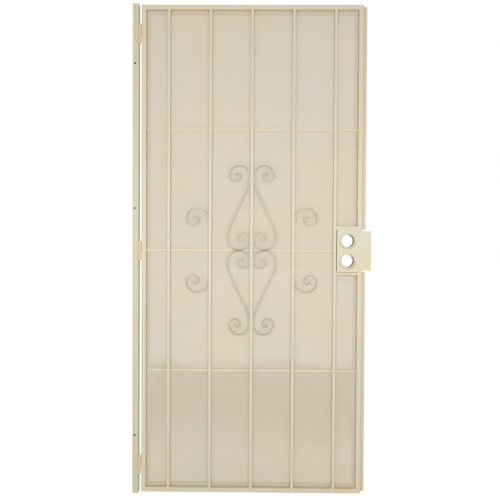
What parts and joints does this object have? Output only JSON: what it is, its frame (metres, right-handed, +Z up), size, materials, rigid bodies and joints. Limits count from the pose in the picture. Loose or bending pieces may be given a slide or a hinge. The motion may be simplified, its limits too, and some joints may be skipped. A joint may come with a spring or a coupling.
{
  "type": "steel security screen door",
  "caption": "Hinged steel security screen door on its hinge jamb: tube frame, pickets, rails and scrollwork before a perforated screen, with a lock box cut out for bored locks.",
  "frame": {"origin": "middle of the hinge jamb's back face, half-way up and half-way across", "axes": "+Z up, +Y from the door's front into the wall, +X from the hinge jamb towards the latch side"},
  "size_m": [1.0091, 0.054, 2.0764],
  "materials": {
    "frame_coat": "satin almond powder coat",
    "screen_coat": "matt almond powder coat on perforated sheet",
    "pin_coat": "satin almond powder coat"
  },
  "bodies": {
    "jamb": {"hinge_jamb": "frame_coat", "hinge_fixed_bottom": "frame_coat", "hinge_fixed_middle": "frame_coat", "hinge_fixed_top": "frame_coat", "hinge_pin_bottom": "pin_coat", "hinge_pin_middle": "pin_coat", "hinge_pin_top": "pin_coat"},
    "door_leaf": {"cross_rail_lower": "frame_coat", "cross_rail_middle": "frame_coat", "cross_rail_upper": "frame_coat", "curl_lower_left": "frame_coat", "curl_lower_right": "frame_coat", "curl_upper_left": "frame_coat", "curl_upper_right": "frame_coat", "frame_bottom_rail": "frame_coat", "frame_top_rail": "frame_coat", "hinge_leaf_bottom": "frame_coat", "hinge_leaf_middle": "frame_coat", "hinge_leaf_top": "frame_coat", "hinge_stile": "frame_coat", "latch_flange_lower": "frame_coat", "latch_flange_upper": "frame_coat", "latch_stile_lower": "frame_coat", "latch_stile_upper": "frame_coat", "lock_back_plate": "frame_coat", "lock_bottom_bar": "frame_coat", "lock_box_sides": "frame_coat", "lock_shield_plate": "frame_coat", "lock_top_bar": "frame_coat", "picket_1": "frame_coat", "picket_2": "frame_coat", "picket_3": "frame_coat", "picket_4": "frame_coat", "picket_5": "frame_coat", "screen_panel": "screen_coat", "screen_retainer_bottom": "frame_coat", "screen_retainer_left": "frame_coat", "screen_retainer_right_lower": "frame_coat", "screen_retainer_right_upper": "frame_coat", "screen_retainer_top": "frame_coat", "scroll_lower_left": "frame_coat", "scroll_lower_right": "frame_coat", "scroll_upper_left": "frame_coat", "scroll_upper_right": "frame_coat"}
  },
  "joints": [
    {"name": "door_swing", "type": "hinge", "parent": "jamb", "child": "door_leaf", "pos_m": [0.01905, -0.03525, 0], "axis": [0, 0, -1], "range_deg": [0, 180]}
  ]
}
